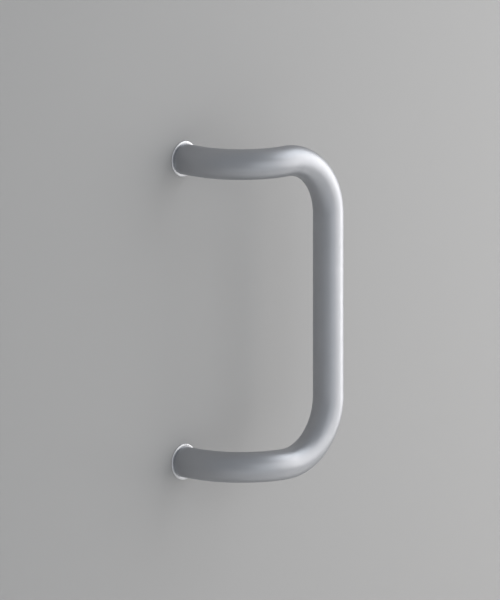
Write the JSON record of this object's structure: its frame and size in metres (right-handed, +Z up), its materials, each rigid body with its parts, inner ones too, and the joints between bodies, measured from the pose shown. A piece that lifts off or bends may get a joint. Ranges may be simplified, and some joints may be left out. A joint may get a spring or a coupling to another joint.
{
  "type": "door pull handle",
  "caption": "Cranked D-shaped door pull handle in round bent tube, with a base ring and a threaded insert at each foot.",
  "frame": {"origin": "midway between the two fixing holes, on the door face", "axes": "+Z up along the grip, +Y into the door, so the handle stands out towards -Y; the grip is set to the +X side of its feet"},
  "size_m": [0.1527, 0.095, 0.3354],
  "materials": {
    "satin_aluminium": "satin anodised",
    "ring_aluminium": "satin, with a rounded bright edge",
    "plated_steel": "turned and zinc plated"
  },
  "bodies": {
    "root": {"handle_bar": "satin_aluminium", "upper_base_ring": "ring_aluminium", "lower_base_ring": "ring_aluminium", "upper_threaded_insert": "plated_steel", "lower_threaded_insert": "plated_steel"}
  },
  "joints": []
}
